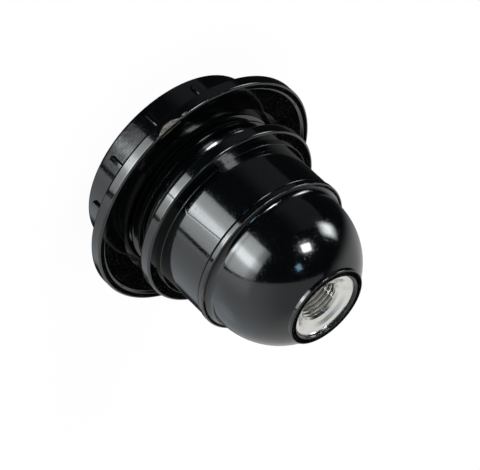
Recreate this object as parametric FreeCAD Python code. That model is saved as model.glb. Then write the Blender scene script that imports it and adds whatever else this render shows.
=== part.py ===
"""Pendant lamp holder for a lamp with a 27 mm screw cap, in black thermoset resin, with a shade ring.

The holder stands on its open mouth with the dome up. The origin is on the axis in the plane of the mouth.
Lengths are in millimetres and angles in degrees.
"""

import FreeCAD, Part
import math
import os

UP = FreeCAD.Vector(0, 0, 1)
CENTRE = FreeCAD.Vector(0, 0, 0)

# Skirt, outside
BARREL_LENGTH = 18.6
BARREL_CREST_RADIUS = 19.75
BARREL_THREAD_DEPTH = 1.1
BARREL_PITCH = 2.5
BARREL_CREST_WIDTH = 0.55
BARREL_FLANK_ANGLE = 25.0
BARREL_PLAIN_END = 0.9
BARREL_THREAD_PHASE = -61.0
COLLAR_RADIUS = 22.75
COLLAR_THICKNESS = 2.9
BODY_RADIUS = 19.15
BODY_LENGTH = 12.4
STEP_WIDTH = 0.95
STEP_HEIGHT = 0.9
COLLAR_EDGE = 0.5
SHOULDER_HEIGHT = 0.3

# Skirt, inside
BARREL_WALL = 2.6
MOUTH_CHAMFER = 0.9
CHAMBER_WALL = 1.85
CHAMBER_DEPTH = 7.9
LEDGE_WIDTH = 2.6
LEDGE_THICKNESS = 2.0
LEDGE_TAPER = 1.0

# Dome cap
BAND_OVERHANG = 0.25
BAND_HEIGHT = 1.45
COVE_DEPTH = 1.7
COVE_HEIGHT = 1.95
COVE_LIP = 0.25
BAND_EDGE = 0.35
DOME_HEIGHT = 15.6
NOSE_WALL = 1.9
RIM_RADIUS = 9.85
RIM_RISE = 0.9
RIM_EDGE = 0.35

# Entry bushing, M10 x 1, drawn at the thread's minor diameter
ENTRY_BORE_RADIUS = 4.459
BUSHING_LIP_RADIUS = 8.1
BUSHING_LIP_WIDTH = 0.3
BUSHING_LIP_DROP = 0.7
BUSHING_LIP_DEPTH = 1.15
BUSHING_CONE_DEPTH = 1.5
BUSHING_BODY_RADIUS = 6.6
BUSHING_BLOCK_RADIUS = 7.5
BUSHING_BLOCK_HEIGHT = 3.3
BUSHING_LENGTH = 12.1
DISH_KNEE_RADIUS = 6.8
DISH_KNEE_DEPTH = 1.0
DISH_DEPTH = 1.35
ENTRY_CHAMFER = 0.5
BOSS_WALL = 2.2
LOCK_SCREW_RADIUS = 1.5
LOCK_SCREW_LENGTH = 2.6
LOCK_SCREW_SETBACK = 0.3
LOCK_SCREW_POINT = 0.7
BUSHING_EDGE = 0.1
DISH_KNEE_ROUNDING = 0.8

# Contact base, porcelain
BASE_FLANGE_THICKNESS = 2.3
BASE_BLOCK_HEIGHT = 4.6
BASE_BOSS_RADIUS = 7.6
BASE_BOSS_DEPTH = 1.2
BARRIER_THICKNESS = 2.6
BARRIER_HEIGHT = 4.2
GUIDE_THICKNESS = 1.5
GUIDE_HEIGHT = 3.4
LUG_WIDTH = 4.0
LUG_HEIGHT = 1.3

# Sleeve for the lamp, drawn at the crests of its 27 mm thread
SLEEVE_LENGTH = 21.0
SLEEVE_CREST_RADIUS = 12.2
SLEEVE_SHEET = 0.4
SLEEVE_FLARE = 0.5
SLEEVE_RIVET_CIRCLE = 10.3

# Terminals, rivets and screws
PLATE_INNER_END = 3.0
PLATE_LENGTH = 9.6
PLATE_WIDTH = 6.6
PLATE_THICKNESS = 1.4
PLATE_CORNER = 0.6
CLAMP_EDGE = 0.2
LIVE_RIVET_PLACE = 4.8
LIVE_SCREW_PLACE = 9.4
NEUTRAL_SCREW_PLACE = 5.9
RIVET_RADIUS = 1.2
RIVET_HEAD_RADIUS = 1.4
RIVET_HEAD_HEIGHT = 0.6
CLAMP_LENGTH = 5.2
CLAMP_THICKNESS = 0.8
SCREW_RADIUS = 1.5
SCREW_LENGTH = 6.5
SCREW_HEAD_RADIUS = 2.5
SCREW_HEAD_HEIGHT = 1.9
SLOT_WIDTH = 0.8
SLOT_DEPTH = 0.9
SCREW_POINT = 0.4
LOCK_WASHER_RADIUS = 2.55
LOCK_WASHER_HEIGHT = 0.8
LOCK_WASHER_SPLIT = 0.6
LOCK_WASHER_LEAN = 30.0

# Centre contact, a sprung tongue
TONGUE_SHEET = 0.48
TONGUE_WIDTH = 5.0
TONGUE_ROOT = 2.2
TONGUE_REACH = 6.0
TONGUE_DROP = 2.7
TONGUE_TIP = 2.4
TONGUE_TIP_LIFT = 1.0
TONGUE_BELLY_WIDTH = 1.6
TONGUE_BELLY_DEPTH = 0.15
TONGUE_HOLE_GAP = 0.3
TONGUE_SWING_GAP = 0.27
TONGUE_HEAD_RADIUS = 2.0

# Shade ring
RING_BOTTOM = 0.4
RING_HEIGHT = 12.2
RING_FLANGE_REACH = 5.95
RING_FLANGE_THICKNESS = 2.9
RING_WALL = 3.02
RING_HUB_DRAFT = 0.25
RING_LIP_WIDTH = 1.5
RING_LIP_DEPTH = 0.5
RING_BEVEL_WIDTH = 2.0
RING_BEVEL_DEPTH = 0.9
RING_LIP_SLOPE = 0.4
RING_MOUTH_CHAMFER = 0.6
RING_RIM_EDGE = 0.5
RIB_COUNT = 12
RIB_PHASE = 21.4
RIB_WIDTH = 1.3
RIB_PROUD = 0.45
RIB_SETBACK = 2.1
GATE_ANGLE = -99.0
GATE_CHORD = 6.4
GATE_DEPTH = 1.4

# Clearances
RUNNING_GAP = 0.08
SEAM_GAP = 0.15
SEAT_GAP = 0.08
LOOSE_GAP = 0.4
GUIDE_GAP = 0.25
FIXED_GAP = 0.03
SCREW_GAP = 0.05
BLEND = 0.05

# Rounding of moulded edges in general
EDGE = 0.3

# Heights worked out from the sizes above
collar_top = BARREL_LENGTH + COLLAR_THICKNESS
skirt_top = collar_top + BODY_LENGTH
ledge_top = skirt_top - CHAMBER_DEPTH
base_bottom = ledge_top + SEAT_GAP
flange_top = base_bottom + BASE_FLANGE_THICKNESS
block_top = flange_top + BASE_BLOCK_HEIGHT
boss_bottom = base_bottom - BASE_BOSS_DEPTH
nose_bottom = flange_top + SEAT_GAP
band_bottom = skirt_top + SEAM_GAP
band_top = band_bottom + BAND_HEIGHT
dome_base = band_top + COVE_HEIGHT
rim_top = dome_base + DOME_HEIGHT
lip_top = rim_top - BUSHING_LIP_DROP
bushing_bottom = lip_top - BUSHING_LENGTH
bushing_block_top = bushing_bottom + BUSHING_BLOCK_HEIGHT
plate_top = block_top + PLATE_THICKNESS
clamp_bottom = plate_top + SEAT_GAP
washer_bottom = clamp_bottom + CLAMP_THICKNESS + FIXED_GAP
head_bottom = washer_bottom + LOCK_WASHER_HEIGHT + SEAT_GAP
tongue_top = boss_bottom - TONGUE_SWING_GAP
tongue_bottom = tongue_top - TONGUE_SHEET
ring_top = RING_BOTTOM + RING_HEIGHT
ring_flange_bottom = ring_top - RING_FLANGE_THICKNESS

# Radii worked out from the sizes above
barrel_root_radius = BARREL_CREST_RADIUS - BARREL_THREAD_DEPTH
barrel_bore_radius = barrel_root_radius - BARREL_WALL
shoulder_radius = BARREL_CREST_RADIUS + BLEND
chamber_radius = BODY_RADIUS - CHAMBER_WALL
ledge_radius = chamber_radius - LEDGE_WIDTH
nose_radius = chamber_radius - RUNNING_GAP
nose_bore_radius = nose_radius - NOSE_WALL
band_radius = BODY_RADIUS + BAND_OVERHANG
dome_radius = band_radius - COVE_DEPTH
bushing_seat_radius = BUSHING_LIP_RADIUS + FIXED_GAP
base_flange_radius = chamber_radius - LOOSE_GAP
base_block_radius = nose_bore_radius - LOOSE_GAP
crown_hole_radius = BASE_BOSS_RADIUS + LOOSE_GAP
ring_bore_radius = BARREL_CREST_RADIUS + RUNNING_GAP
ring_hub_radius = ring_bore_radius + RING_WALL
ring_hub_top_radius = ring_hub_radius + RING_HUB_DRAFT
ring_flange_radius = ring_hub_top_radius + RING_FLANGE_REACH


def vector(radius, height):
    return FreeCAD.Vector(radius, 0, height)


def corner_edges(before, corner, after, radius):
    """The tangent points and the arc that round one corner of an outline."""
    back = (before - corner).normalize()
    ahead = (after - corner).normalize()
    half = back.getAngle(ahead) / 2
    reach = radius / math.tan(half)
    start = corner + back * reach
    end = corner + ahead * reach
    middle = (back + ahead).normalize()
    centre = corner + middle * (radius / math.sin(half))
    return start, Part.Arc(start, centre - middle * radius, end).toShape(), end


def turned(corners):
    """A solid of revolution about Z. A corner is (radius, height), with a rounding as its third value where
    it has one, or "via" where the outline runs in an arc through it from the corner before to the next."""
    points = [vector(corner[0], corner[1]) for corner in corners]
    extras = [corner[2] if len(corner) > 2 else 0 for corner in corners]
    count = len(points)
    starts = list(points)
    ends = list(points)
    arcs = {}
    for i in range(count):
        if extras[i] != "via" and extras[i] > 0:
            after = points[(i + 1) % count]
            starts[i], arcs[i], ends[i] = corner_edges(points[i - 1], points[i], after, extras[i])
    edges = []
    for i in range(count):
        following = (i + 1) % count
        if extras[i] == "via":
            continue
        if i in arcs:
            edges.append(arcs[i])
        if extras[following] == "via":
            target = starts[(following + 1) % count]
            edges.append(Part.Arc(ends[i], points[following], target).toShape())
        elif ends[i].distanceToPoint(starts[following]) > 1e-6:
            edges.append(Part.LineSegment(ends[i], starts[following]).toShape())
    face = Part.Face(Part.Wire(edges))
    return face.revolve(CENTRE, UP, 360)


def cylinder(radius, bottom, top, x=0.0, y=0.0):
    return Part.makeCylinder(radius, top - bottom, FreeCAD.Vector(x, y, bottom), UP)


def block(x_range, y_range, z_range):
    size = [high - low for low, high in (x_range, y_range, z_range)]
    return Part.makeBox(*size, FreeCAD.Vector(x_range[0], y_range[0], z_range[0]))


def turned_about_axis(shape, angle):
    return shape.rotated(CENTRE, UP, angle)


def helical_ridge(section, pitch, bottom, top, radius):
    """A ridge of the given section, swept up a right-handed helix from bottom to top."""
    spine = Part.makeHelix(pitch, top - bottom, radius)
    spine.translate(FreeCAD.Vector(0, 0, bottom))
    return Part.Wire(spine.Edges).makePipeShell([section], True, True)


# ---------------------------------------------------------------- skirt and shade ring


def barrel_thread():
    """The blunt moulded thread that the shade ring runs on, faded out at both ends by cones."""
    half_crest = BARREL_CREST_WIDTH / 2
    half_root = half_crest + BARREL_THREAD_DEPTH * math.tan(math.radians(BARREL_FLANK_ANGLE))
    root = barrel_root_radius - BLEND
    start = BARREL_PLAIN_END + half_root
    end = BARREL_LENGTH - BARREL_PLAIN_END - half_root
    outline = [
        vector(root, start - half_root),
        vector(BARREL_CREST_RADIUS, start - half_crest),
        vector(BARREL_CREST_RADIUS, start + half_crest),
        vector(root, start + half_root),
    ]
    section = Part.makePolygon(outline + outline[:1])
    ridge = helical_ridge(section, BARREL_PITCH, start, end, root)
    envelope = turned([
        (root - BLEND, start - half_root),
        (barrel_root_radius, start - half_root),
        (BARREL_CREST_RADIUS + BLEND, start + half_root),
        (BARREL_CREST_RADIUS + BLEND, end - half_root),
        (barrel_root_radius, end + half_root),
        (root - BLEND, end + half_root),
    ])
    return turned_about_axis(ridge.common(envelope), BARREL_THREAD_PHASE)


def skirt():
    """Threaded barrel, collar, step and body in one moulding, with a ledge inside for the contact base."""
    step_radius = BODY_RADIUS + STEP_WIDTH
    ledge_bottom = ledge_top - LEDGE_THICKNESS
    core = turned([
        (barrel_bore_radius, MOUTH_CHAMFER),
        (barrel_bore_radius + MOUTH_CHAMFER, 0),
        (barrel_root_radius, 0, EDGE),
        (barrel_root_radius, BARREL_LENGTH - SHOULDER_HEIGHT),
        (shoulder_radius, BARREL_LENGTH - SHOULDER_HEIGHT),
        (shoulder_radius, BARREL_LENGTH),
        (COLLAR_RADIUS, BARREL_LENGTH, COLLAR_EDGE),
        (COLLAR_RADIUS, collar_top, COLLAR_EDGE),
        (step_radius, collar_top),
        (step_radius, collar_top + STEP_HEIGHT, EDGE),
        (BODY_RADIUS, collar_top + STEP_HEIGHT),
        (BODY_RADIUS, skirt_top, EDGE),
        (chamber_radius, skirt_top),
        (chamber_radius, ledge_top),
        (ledge_radius, ledge_top),
        (ledge_radius, ledge_bottom),
        (barrel_bore_radius, ledge_bottom - LEDGE_TAPER),
    ])
    return core.fuse(barrel_thread()).removeSplitter()


def gate_flat():
    """The leaning flat left where the moulding's gate was broken off the flange's rim."""
    inset = ring_flange_radius - math.sqrt(ring_flange_radius ** 2 - (GATE_CHORD / 2) ** 2)
    lean = math.degrees(math.atan2(inset, GATE_DEPTH))
    cutter = block((0, GATE_CHORD), (-GATE_CHORD, GATE_CHORD), (-2 * GATE_DEPTH, GATE_DEPTH))
    cutter.rotate(CENTRE, FreeCAD.Vector(0, 1, 0), -lean)
    cutter.translate(FreeCAD.Vector(ring_flange_radius - inset, 0, ring_top))
    return turned_about_axis(cutter, GATE_ANGLE)


def ring_rib(index):
    angle = RIB_PHASE + index * 360 / RIB_COUNT
    reach = ring_hub_top_radius + RIB_PROUD
    bottom = RING_BOTTOM + RIB_SETBACK
    half = RIB_WIDTH / 2
    rib = block((ring_hub_radius - BLEND, reach), (-half, half), (bottom, ring_flange_bottom + BLEND))
    corners = [edge for edge in rib.Edges if all(abs(v.X - reach) < 1e-6 for v in edge.Vertexes)]
    free = [edge for edge in corners if min(v.Z for v in edge.Vertexes) < ring_flange_bottom]
    return turned_about_axis(rib.makeFillet(RIB_PROUD / 2, free), angle)


def shade_ring():
    """Flange and ribbed hub. The bore is plain and clears the barrel's crests."""
    face = ring_top - RING_LIP_DEPTH
    ring = turned([
        (ring_bore_radius, RING_BOTTOM + RING_MOUTH_CHAMFER),
        (ring_bore_radius + RING_MOUTH_CHAMFER, RING_BOTTOM),
        (ring_hub_radius, RING_BOTTOM, RING_RIM_EDGE),
        (ring_hub_top_radius, ring_flange_bottom, EDGE),
        (ring_flange_radius, ring_flange_bottom, RING_RIM_EDGE),
        (ring_flange_radius, ring_top, RING_RIM_EDGE),
        (ring_flange_radius - RING_LIP_WIDTH, ring_top, EDGE),
        (ring_flange_radius - RING_LIP_WIDTH - RING_LIP_SLOPE, face, EDGE),
        (ring_bore_radius + RING_BEVEL_WIDTH, face),
        (ring_bore_radius, face - RING_BEVEL_DEPTH),
    ])
    for index in range(RIB_COUNT):
        ring = ring.fuse(ring_rib(index))
    return ring.cut(gate_flat()).removeSplitter()


# ---------------------------------------------------------------- dome cap and entry


def nose_notches():
    """Two slots in the nose's end for the lugs of the contact base."""
    half = LUG_WIDTH / 2 + GUIDE_GAP
    reach = nose_radius + LOOSE_GAP
    return block((-half, half), (-reach, reach), (nose_bottom - BLEND, flange_top + LUG_HEIGHT + GUIDE_GAP))


def on_dome(radius, angle):
    """Radius and height of a point on the dome, at an angle above its base."""
    return radius * math.cos(angle), dome_base + radius * math.sin(angle)


def dome_cap():
    """Half-round dome on a band, with a nose below that screws into the skirt, and a rim round the entry."""
    boss_radius = BUSHING_BODY_RADIUS + BOSS_WALL
    boss_top = dome_base + math.sqrt(nose_bore_radius ** 2 - boss_radius ** 2)
    neck_height = rim_top - RIM_RISE
    neck_radius = math.sqrt(dome_radius ** 2 - (neck_height - dome_base) ** 2)
    middle_angle = math.atan2(neck_height - dome_base, neck_radius) / 2
    inner_angle = math.atan2(boss_top - dome_base, boss_radius) / 2
    cone_bottom = lip_top - BUSHING_LIP_DEPTH
    cap = turned([
        (nose_bore_radius, nose_bottom),
        (nose_radius, nose_bottom, EDGE),
        (nose_radius, band_bottom),
        (band_radius, band_bottom, EDGE),
        (band_radius, band_top, BAND_EDGE),
        (dome_radius + COVE_DEPTH / 2, band_top + COVE_LIP),
        (dome_radius + COVE_DEPTH / 6, band_top + COVE_LIP + (COVE_HEIGHT - COVE_LIP) / 3, "via"),
        (dome_radius, dome_base),
        (*on_dome(dome_radius, middle_angle), "via"),
        (neck_radius, neck_height),
        (RIM_RADIUS, neck_height),
        (RIM_RADIUS, rim_top, RIM_EDGE),
        (bushing_seat_radius, rim_top, EDGE),
        (bushing_seat_radius, cone_bottom),
        (BUSHING_BODY_RADIUS + FIXED_GAP, cone_bottom - BUSHING_CONE_DEPTH),
        (BUSHING_BODY_RADIUS + FIXED_GAP, bushing_block_top + FIXED_GAP),
        (boss_radius, bushing_block_top + FIXED_GAP),
        (boss_radius, boss_top),
        (*on_dome(nose_bore_radius, inner_angle), "via"),
        (nose_bore_radius, dome_base),
    ])
    return cap.cut(nose_notches())


def entry_bushing():
    """Turned metal entry with a dished mouth. Its lower block takes the screw that locks the tube."""
    cone_bottom = lip_top - BUSHING_LIP_DEPTH
    dish_edge = lip_top - DISH_DEPTH
    bushing = turned([
        (ENTRY_BORE_RADIUS, bushing_bottom),
        (BUSHING_BLOCK_RADIUS, bushing_bottom, EDGE),
        (BUSHING_BLOCK_RADIUS, bushing_block_top),
        (BUSHING_BODY_RADIUS, bushing_block_top),
        (BUSHING_BODY_RADIUS, cone_bottom - BUSHING_CONE_DEPTH),
        (BUSHING_LIP_RADIUS, cone_bottom),
        (BUSHING_LIP_RADIUS, lip_top, BUSHING_EDGE),
        (BUSHING_LIP_RADIUS - BUSHING_LIP_WIDTH, lip_top, BUSHING_EDGE),
        (DISH_KNEE_RADIUS, lip_top - DISH_KNEE_DEPTH, DISH_KNEE_ROUNDING),
        (ENTRY_BORE_RADIUS + ENTRY_CHAMFER, dish_edge),
        (ENTRY_BORE_RADIUS, dish_edge - ENTRY_CHAMFER),
    ])
    hole_height = (bushing_bottom + bushing_block_top) / 2
    start = FreeCAD.Vector(0, 0, hole_height)
    reach = BUSHING_BLOCK_RADIUS + 1
    hole = Part.makeCylinder(LOCK_SCREW_RADIUS + SCREW_GAP, reach, start, FreeCAD.Vector(0, 1, 0))
    return bushing.cut(hole)


def lock_screw():
    """Headless screw in the bushing's block, with a cone point and a slot."""
    height = (bushing_bottom + bushing_block_top) / 2
    tip = ENTRY_BORE_RADIUS + LOCK_SCREW_SETBACK
    screw = turned([
        (0, 0),
        (LOCK_SCREW_RADIUS - LOCK_SCREW_POINT, 0),
        (LOCK_SCREW_RADIUS, LOCK_SCREW_POINT),
        (LOCK_SCREW_RADIUS, LOCK_SCREW_LENGTH),
        (0, LOCK_SCREW_LENGTH),
    ])
    half = SLOT_WIDTH / 4
    reach = LOCK_SCREW_RADIUS + 1
    slot_bottom = LOCK_SCREW_LENGTH - SLOT_DEPTH
    slot = block((-reach, reach), (-half, half), (slot_bottom, LOCK_SCREW_LENGTH + 1))
    screw = screw.cut(slot)
    screw.rotate(CENTRE, FreeCAD.Vector(1, 0, 0), -90)
    screw.translate(FreeCAD.Vector(0, tip, height))
    return screw


# ---------------------------------------------------------------- contact base


def rivet_places():
    """Centres of the sleeve's three rivets, the neutral one first, and of the centre contact's rivet."""
    places = [(SLEEVE_RIVET_CIRCLE, 0.0)]
    for angle in (120, 240):
        turn = math.radians(angle)
        places.append((SLEEVE_RIVET_CIRCLE * math.cos(turn), SLEEVE_RIVET_CIRCLE * math.sin(turn)))
    return places + [(-LIVE_RIVET_PLACE, 0.0)]


def guide_wall(side, pole):
    """A wall beside a terminal that keeps the plate and its clamp from turning."""
    inner = PLATE_WIDTH / 2 + GUIDE_GAP
    y_range = sorted((side * inner, side * (inner + GUIDE_THICKNESS)))
    x_range = sorted((pole * PLATE_INNER_END, pole * (PLATE_INNER_END + PLATE_LENGTH)))
    return block(x_range, y_range, (block_top - BLEND, block_top + GUIDE_HEIGHT))


def contact_base():
    """Porcelain disc on the skirt's ledge, with a block, barrier and guides above and a boss below."""
    base = turned([
        (0, boss_bottom),
        (BASE_BOSS_RADIUS, boss_bottom, EDGE),
        (BASE_BOSS_RADIUS, base_bottom),
        (base_flange_radius, base_bottom, EDGE),
        (base_flange_radius, flange_top, EDGE),
        (base_block_radius, flange_top),
        (base_block_radius, block_top, EDGE),
        (0, block_top),
    ])
    half_barrier = BARRIER_THICKNESS / 2
    walls = block((-half_barrier, half_barrier), (-base_block_radius, base_block_radius),
                  (block_top - BLEND, block_top + BARRIER_HEIGHT))
    for side in (-1, 1):
        for pole in (-1, 1):
            walls = walls.fuse(guide_wall(side, pole))
    walls = walls.common(cylinder(base_block_radius - LOOSE_GAP, block_top - 1, block_top + BARRIER_HEIGHT))
    half_lug = LUG_WIDTH / 2
    reach = base_flange_radius
    lugs = block((-half_lug, half_lug), (-reach, reach), (flange_top - BLEND, flange_top + LUG_HEIGHT))
    lugs = lugs.common(cylinder(nose_radius - LOOSE_GAP, flange_top - 1, flange_top + LUG_HEIGHT))
    base = base.fuse(walls).fuse(lugs)
    for x, y in rivet_places():
        base = base.cut(cylinder(RIVET_RADIUS + FIXED_GAP, boss_bottom - 1, block_top + 1, x, y))
    for x in (-LIVE_SCREW_PLACE, NEUTRAL_SCREW_PLACE):
        hole_bottom = head_bottom - SCREW_LENGTH - LOOSE_GAP
        base = base.cut(cylinder(SCREW_RADIUS + LOOSE_GAP, hole_bottom, block_top + 1, x))
    return base.removeSplitter()


def threaded_sleeve():
    """Thin brass sleeve for the lamp, flared below and crowned above, where it is riveted to the base. The
    wall is drawn plain, at the crests of its rolled thread."""
    bottom = base_bottom - SLEEVE_LENGTH
    crown = base_bottom - SLEEVE_SHEET
    outer = SLEEVE_CREST_RADIUS + SLEEVE_SHEET
    shell = turned([
        (SLEEVE_CREST_RADIUS, bottom + SLEEVE_FLARE),
        (SLEEVE_CREST_RADIUS + SLEEVE_FLARE, bottom),
        (outer + SLEEVE_FLARE, bottom),
        (outer, bottom + SLEEVE_FLARE),
        (outer, base_bottom),
        (crown_hole_radius, base_bottom),
        (crown_hole_radius, crown),
        (SLEEVE_CREST_RADIUS, crown),
    ])
    for x, y in rivet_places()[:3]:
        shell = shell.cut(cylinder(RIVET_RADIUS + FIXED_GAP, crown - 1, base_bottom + 1, x, y))
    return shell


def rivet(x, y, under, over, lower_head_radius):
    """A rivet whose heads clamp what lies between the heights under and over."""
    low = under - RIVET_HEAD_HEIGHT
    high = over + RIVET_HEAD_HEIGHT
    shape = turned([
        (0, low),
        (lower_head_radius - EDGE, low),
        (lower_head_radius, low + EDGE),
        (lower_head_radius, under),
        (RIVET_RADIUS, under),
        (RIVET_RADIUS, over),
        (RIVET_HEAD_RADIUS, over),
        (RIVET_HEAD_RADIUS, high - EDGE),
        (RIVET_HEAD_RADIUS - EDGE, high),
        (0, high),
    ])
    shape.translate(FreeCAD.Vector(x, y, 0))
    return shape


def sleeve_rivet(index, over):
    x, y = rivet_places()[index]
    return rivet(x, y, base_bottom - SLEEVE_SHEET - FIXED_GAP, over + FIXED_GAP, RIVET_HEAD_RADIUS)


def centre_rivet():
    under = tongue_bottom - TONGUE_SWING_GAP
    return rivet(-LIVE_RIVET_PLACE, 0, under, plate_top + FIXED_GAP, TONGUE_HEAD_RADIUS)


def terminal(screw_place, rivet_place, pole):
    """Brass plate with a tapped hole for the terminal screw and a hole for its rivet."""
    x_range = sorted((pole * PLATE_INNER_END, pole * (PLATE_INNER_END + PLATE_LENGTH)))
    half = PLATE_WIDTH / 2
    plate = block(x_range, (-half, half), (block_top + FIXED_GAP, plate_top))
    upright = [edge for edge in plate.Edges if abs(edge.Vertexes[0].Z - edge.Vertexes[1].Z) > 1e-6]
    plate = plate.makeFillet(PLATE_CORNER, upright)
    plate = plate.cut(cylinder(SCREW_RADIUS + SCREW_GAP, block_top, plate_top + 1, pole * screw_place))
    return plate.cut(cylinder(RIVET_RADIUS + FIXED_GAP, block_top, plate_top + 1, pole * rivet_place))


def clamp(x):
    """Square washer, kept from turning by the guide walls, with its wire side turned down at the edges."""
    half_length = CLAMP_LENGTH / 2
    half_width = PLATE_WIDTH / 2
    top = clamp_bottom + CLAMP_THICKNESS
    plate = block((x - half_length, x + half_length), (-half_width, half_width), (clamp_bottom, top))
    upper = [edge for edge in plate.Edges if all(abs(v.Z - top) < 1e-6 for v in edge.Vertexes)]
    plate = plate.makeChamfer(CLAMP_EDGE, upper)
    return plate.cut(cylinder(SCREW_RADIUS + 2 * SCREW_GAP, clamp_bottom - 1, top + 1, x))


def lock_washer(x):
    """Split spring washer between the clamp and the screw's head."""
    top = washer_bottom + LOCK_WASHER_HEIGHT
    ring = cylinder(LOCK_WASHER_RADIUS, washer_bottom, top)
    ring = ring.cut(cylinder(SCREW_RADIUS + 2 * SCREW_GAP, washer_bottom - 1, top + 1))
    half = LOCK_WASHER_SPLIT / 2
    split = block((0, LOCK_WASHER_RADIUS + 1), (-half, half), (washer_bottom - 2, top + 2))
    middle = vector(0, washer_bottom + LOCK_WASHER_HEIGHT / 2)
    split.rotate(middle, FreeCAD.Vector(1, 0, 0), LOCK_WASHER_LEAN)
    ring = turned_about_axis(ring.cut(split), 125)
    ring.translate(FreeCAD.Vector(x, 0, 0))
    return ring


def terminal_screw(x):
    """Slotted cheese-head screw."""
    top = head_bottom + SCREW_HEAD_HEIGHT
    screw = turned([
        (0, head_bottom - SCREW_LENGTH),
        (SCREW_RADIUS - SCREW_POINT, head_bottom - SCREW_LENGTH),
        (SCREW_RADIUS, head_bottom - SCREW_LENGTH + SCREW_POINT),
        (SCREW_RADIUS, head_bottom),
        (SCREW_HEAD_RADIUS, head_bottom),
        (SCREW_HEAD_RADIUS, top, EDGE),
        (0, top),
    ])
    half = SLOT_WIDTH / 2
    slot = block((-SCREW_HEAD_RADIUS - 1, SCREW_HEAD_RADIUS + 1), (-half, half), (top - SLOT_DEPTH, top + 1))
    screw = turned_about_axis(screw.cut(slot), 35)
    screw.translate(FreeCAD.Vector(x, 0, 0))
    return screw


def centre_contact():
    """Springy tongue folded from strip: flat root round the rivet, a slope, and an upturned tip."""
    pivot = -LIVE_RIVET_PLACE
    bend = pivot + TONGUE_ROOT
    low = tongue_bottom - TONGUE_DROP
    contact = pivot + TONGUE_REACH
    half_belly = TONGUE_BELLY_WIDTH / 2
    line = [
        vector(pivot - TONGUE_ROOT, tongue_bottom),
        vector(bend, tongue_bottom),
        vector(contact - half_belly, low + TONGUE_BELLY_DEPTH),
        vector(contact, low),
        vector(contact + half_belly, low + TONGUE_BELLY_DEPTH),
        vector(contact + TONGUE_TIP, low + TONGUE_TIP_LIFT),
    ]
    lift = FreeCAD.Vector(0, 0, TONGUE_SHEET)
    outline = line + [point + lift for point in reversed(line)]
    face = Part.Face(Part.makePolygon(outline + outline[:1]))
    face.translate(FreeCAD.Vector(0, -TONGUE_WIDTH / 2, 0))
    tongue = face.extrude(FreeCAD.Vector(0, TONGUE_WIDTH, 0))
    hole = cylinder(RIVET_RADIUS + TONGUE_HOLE_GAP, tongue_bottom - 1, tongue_top + 1, pivot)
    return tongue.cut(hole)


NODES = {
    "dome_cap": dome_cap,
    "entry_bushing": entry_bushing,
    "lock_screw": lock_screw,
    "contact_base": contact_base,
    "threaded_sleeve": threaded_sleeve,
    "neutral_rivet": lambda: sleeve_rivet(0, plate_top),
    "sleeve_rivet_1": lambda: sleeve_rivet(1, block_top),
    "sleeve_rivet_2": lambda: sleeve_rivet(2, block_top),
    "centre_rivet": centre_rivet,
    "centre_contact": centre_contact,
    "live_terminal": lambda: terminal(LIVE_SCREW_PLACE, LIVE_RIVET_PLACE, -1),
    "live_clamp": lambda: clamp(-LIVE_SCREW_PLACE),
    "live_lock_washer": lambda: lock_washer(-LIVE_SCREW_PLACE),
    "live_screw": lambda: terminal_screw(-LIVE_SCREW_PLACE),
    "neutral_terminal": lambda: terminal(NEUTRAL_SCREW_PLACE, SLEEVE_RIVET_CIRCLE, 1),
    "neutral_clamp": lambda: clamp(NEUTRAL_SCREW_PLACE),
    "neutral_lock_washer": lambda: lock_washer(NEUTRAL_SCREW_PLACE),
    "neutral_screw": lambda: terminal_screw(NEUTRAL_SCREW_PLACE),
    "skirt": skirt,
    "shade_ring": shade_ring,
}


def main():
    os.makedirs("parts", exist_ok=True)
    for name, build in NODES.items():
        shape = build()
        if not shape.isValid() or len(shape.Solids) != 1:
            raise ValueError(name + " is not one valid solid")
        shape.Solids[0].exportStep("parts/" + name + ".step")
        print(name, "volume", round(shape.Volume, 2))


main()
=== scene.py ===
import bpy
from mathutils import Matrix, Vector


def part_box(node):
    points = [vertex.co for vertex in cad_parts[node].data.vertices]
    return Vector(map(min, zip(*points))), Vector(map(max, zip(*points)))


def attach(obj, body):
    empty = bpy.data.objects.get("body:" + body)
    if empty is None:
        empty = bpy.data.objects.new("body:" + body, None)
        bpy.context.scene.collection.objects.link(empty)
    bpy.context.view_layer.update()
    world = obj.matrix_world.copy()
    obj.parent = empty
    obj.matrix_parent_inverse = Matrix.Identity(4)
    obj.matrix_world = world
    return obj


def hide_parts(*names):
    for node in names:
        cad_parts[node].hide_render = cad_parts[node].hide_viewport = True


bl_info = {
    "name": "Pendant lamp holder",
    "version": (1, 0, 0),
    "blender": (4, 5, 0),
    "location": "3D View > Sidebar > Lamp holder",
    "description": "Dresses the packed lamp holder: threaded mouldings, metal parts, finishes and stage",
    "category": "Object",
}

import math

import bmesh
import bpy
from bpy.props import FloatProperty, FloatVectorProperty, IntProperty, PointerProperty
from mathutils import Matrix, Vector

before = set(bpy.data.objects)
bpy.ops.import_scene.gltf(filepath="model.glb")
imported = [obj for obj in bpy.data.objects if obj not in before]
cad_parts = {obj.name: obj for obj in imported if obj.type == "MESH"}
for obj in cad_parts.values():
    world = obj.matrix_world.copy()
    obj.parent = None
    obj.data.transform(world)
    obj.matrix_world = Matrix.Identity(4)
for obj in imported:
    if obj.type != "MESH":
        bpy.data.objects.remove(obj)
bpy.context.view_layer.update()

MM = 0.001
MICRON = 0.000001
DEGREES = 180 / math.pi
FULL_TURN = 2 * math.pi

SEGMENTS = 240
HOLE_SEGMENTS = 48
ROUNDING_STEPS = 6
MERGE_DISTANCE = 2 * MICRON
SHARP_ANGLE = math.radians(32.0)

FINE_EDGE = 0.1 * MM
CRISP_EDGE = 0.15 * MM
SOFT_EDGE = 0.3 * MM
MOULDED_THREAD = {"crest_share": 0.3, "flank_share": 0.2, "softness": 0.3}


# ---------------------------------------------------------------- sizes and colours


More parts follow.
